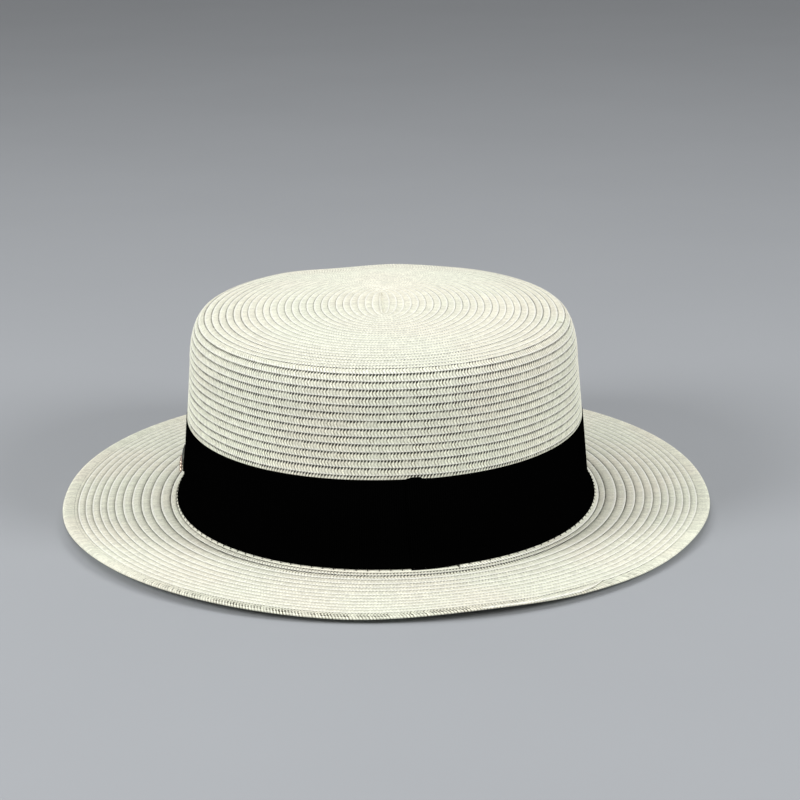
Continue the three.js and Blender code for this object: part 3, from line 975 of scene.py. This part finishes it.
def badge_beads():
    """Rows of domed beads on a thin back."""
    bm = bmesh.new()
    lowest = BEAD_ROW_PITCH * (len(BEAD_ROWS) - 1)
    bmesh.ops.create_grid(bm, x_segments=1, y_segments=1, size=1)
    for vertex in bm.verts:
        beads = BEAD_ROWS[0] if vertex.co.y > 0 else BEAD_ROWS[-1]
        vertex.co.x *= BEAD_PITCH * (beads - 1) / 2
        vertex.co.y = 0 if vertex.co.y > 0 else -lowest
    raised = bmesh.ops.extrude_face_region(bm, geom=bm.faces[:])["geom"]
    lifted = [item for item in raised if isinstance(item, bmesh.types.BMVert)]
    bmesh.ops.translate(bm, vec=(0, 0, BACK_THICKNESS), verts=lifted)
    bmesh.ops.bevel(bm, geom=bm.edges[:], offset=0.12, segments=2, profile=0.5, affect="EDGES", material=-1)
    for row, count in enumerate(BEAD_ROWS):
        for i in range(count):
            place = Matrix.Translation((BEAD_PITCH * (i - (count - 1) / 2), -BEAD_ROW_PITCH * row, 0))
            size = Matrix.Diagonal((BEAD_DIAMETER / 2, BEAD_DIAMETER / 2, BEAD_HEIGHT, 1))
            bmesh.ops.create_uvsphere(bm, u_segments=24, v_segments=12, radius=1, matrix=place @ size)
    geometry = bm.verts[:] + bm.edges[:] + bm.faces[:]
    cut = bmesh.ops.bisect_plane(bm, geom=geometry, plane_co=(0, 0, 0), plane_no=(0, 0, -1), clear_outer=True)
    rims = [item for item in cut["geom_cut"] if isinstance(item, bmesh.types.BMEdge) and item.is_boundary]
    bmesh.ops.holes_fill(bm, edges=rims, sides=0)
    bmesh.ops.recalc_face_normals(bm, faces=bm.faces)
    bmesh.ops.translate(bm, vec=(0, -BEAD_DROP, PLATE_THICKNESS), verts=bm.verts)
    bmesh.ops.transform(bm, matrix=badge_place(), verts=bm.verts)
    return bm


mesh_object("badge_oval", badge_plate(), dark_metal, "badge_plate")
mesh_object("badge_bead_row", badge_beads(), rose_gold, "badge_beads")


# Floor, light and camera

CAMERA_DISTANCE = 0.952152
CAMERA_RISE = 0.315              # radians above the floor
CAMERA_UP = 0.040                # radians that the camera is turned up, aside and about its own line of sight
CAMERA_ASIDE = -0.007
CAMERA_ROLL = 0.017
HAT_TURN = 0.024                 # radians that the hat is turned in the photo
LENS = 101.23


def studio_floor():
    bm = bmesh.new()
    bmesh.ops.create_grid(bm, x_segments=1, y_segments=1, size=8)
    mesh = bpy.data.meshes.new("floor")
    bm.to_mesh(mesh)
    bm.free()
    mesh.materials.append(plain("pale_floor", "#9fa2a6", 0.06))
    floor = bpy.data.objects.new("floor", mesh)
    bpy.context.scene.collection.objects.link(floor)


def area_light(name, place, target, size, power, code):
    data = bpy.data.lights.new(name, "AREA")
    data.shape = "DISK"
    data.size = size
    data.energy = power
    data.color = linear(code)[:3]
    light = bpy.data.objects.new(name, data)
    light.location = place
    light.rotation_euler = (Vector(target) - Vector(place)).to_track_quat("-Z", "Y").to_euler()
    bpy.context.scene.collection.objects.link(light)


studio_floor()

area_light("overhead_light", (-0.3, 0.1, 1.3), (0, 0, 0), 1.4, 5.5, "#ffffff")
area_light("left_light", (-1.4, -0.65, 0.95), (0, 0, 0.05), 0.7, 21, "#ffffff")
area_light("right_light", (1.4, -0.7, 0.95), (0, 0, 0.05), 0.7, 20, "#ffffff")

world = bpy.data.worlds.new("studio")
world.use_nodes = True
world.node_tree.nodes["Background"].inputs["Color"].default_value = linear("#ffffff")
world.node_tree.nodes["Background"].inputs["Strength"].default_value = 0.41
bpy.context.scene.world = world
bpy.context.scene.view_settings.view_transform = "Standard"


def photo_camera():
    """The camera of the photo, turned with the hat so that the hat can stay square to its axes."""
    away = Vector((0, -math.cos(CAMERA_RISE), math.sin(CAMERA_RISE))) * CAMERA_DISTANCE
    forward = -away.normalized()
    right = Vector((1, 0, 0))
    up = right.cross(forward)
    tilt = Matrix.Rotation(CAMERA_UP, 3, right)
    forward, up = tilt @ forward, tilt @ up
    pan = Matrix.Rotation(CAMERA_ASIDE, 3, up)
    forward, right = pan @ forward, pan @ right
    roll = Matrix.Rotation(CAMERA_ROLL, 3, forward)
    right, up = roll @ right, roll @ up
    turn = Matrix.Rotation(-HAT_TURN, 3, "Z")
    axes = Matrix((turn @ right, turn @ up, turn @ -forward)).transposed()
    data = bpy.data.cameras.new("camera")
    data.lens = LENS
    data.sensor_width = 36
    data.clip_start = 0.05
    camera = bpy.data.objects.new("camera", data)
    camera.matrix_world = Matrix.Translation(turn @ away) @ axes.to_4x4()
    bpy.context.scene.collection.objects.link(camera)
    bpy.context.scene.camera = camera


photo_camera()

bpy.context.view_layer.update()
